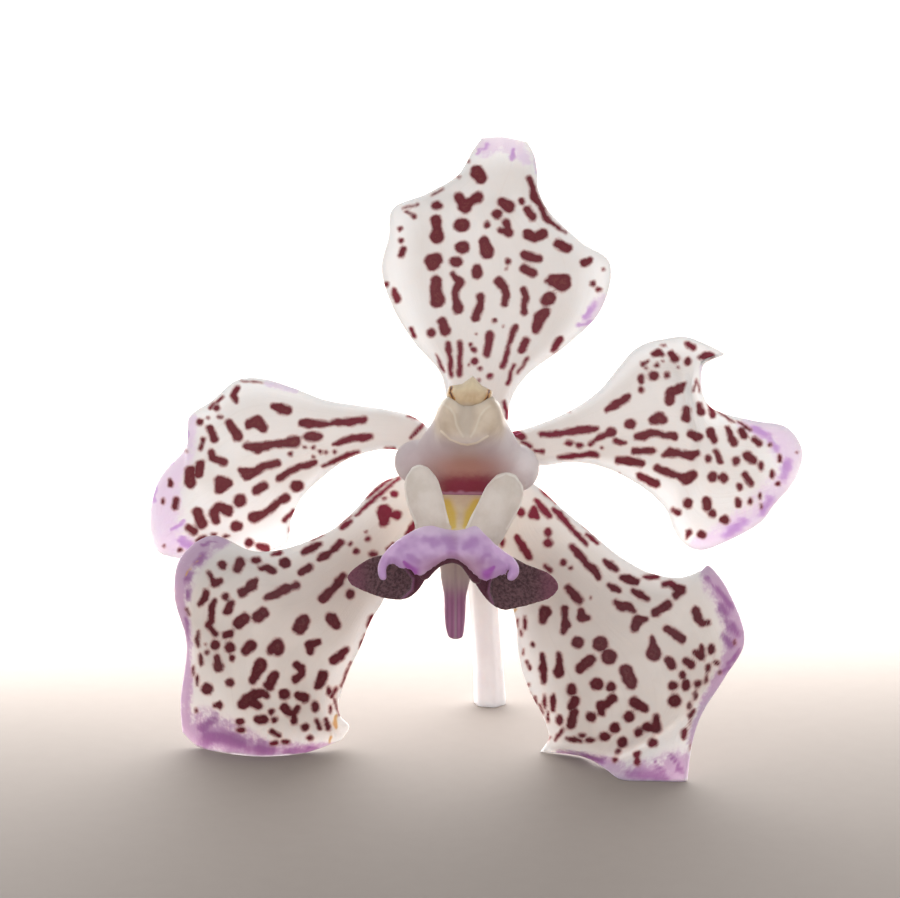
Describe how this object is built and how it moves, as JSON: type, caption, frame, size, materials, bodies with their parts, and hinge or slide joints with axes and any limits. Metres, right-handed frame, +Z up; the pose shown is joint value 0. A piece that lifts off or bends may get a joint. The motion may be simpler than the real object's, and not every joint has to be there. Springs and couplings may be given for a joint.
{
  "type": "orchid flower",
  "caption": "Single spotted orchid bloom with sepals, petals, lip, spur, column and pedicel, standing on its lower sepals and its pedicel.",
  "frame": {"origin": "middle of the bounding box, on the surface that the bloom stands on", "axes": "+Z up, -Y towards the viewer who looks into the bloom's face, +X to that viewer's right"},
  "size_m": [0.0671, 0.0351, 0.0609],
  "materials": {
    "tepal": "satin",
    "lip": "satin",
    "column": "satin",
    "anther_cap": "satin",
    "pollinia": "satin",
    "pedicel": "satin"
  },
  "bodies": {
    "root": {"dorsal_sepal": "tepal", "petal_left": "tepal", "petal_right": "tepal", "lateral_sepal_left": "tepal", "lateral_sepal_right": "tepal", "lip": "lip", "column": "column", "anther_cap": "anther_cap", "pollinarium": "pollinia", "pedicel": "pedicel"}
  },
  "joints": []
}
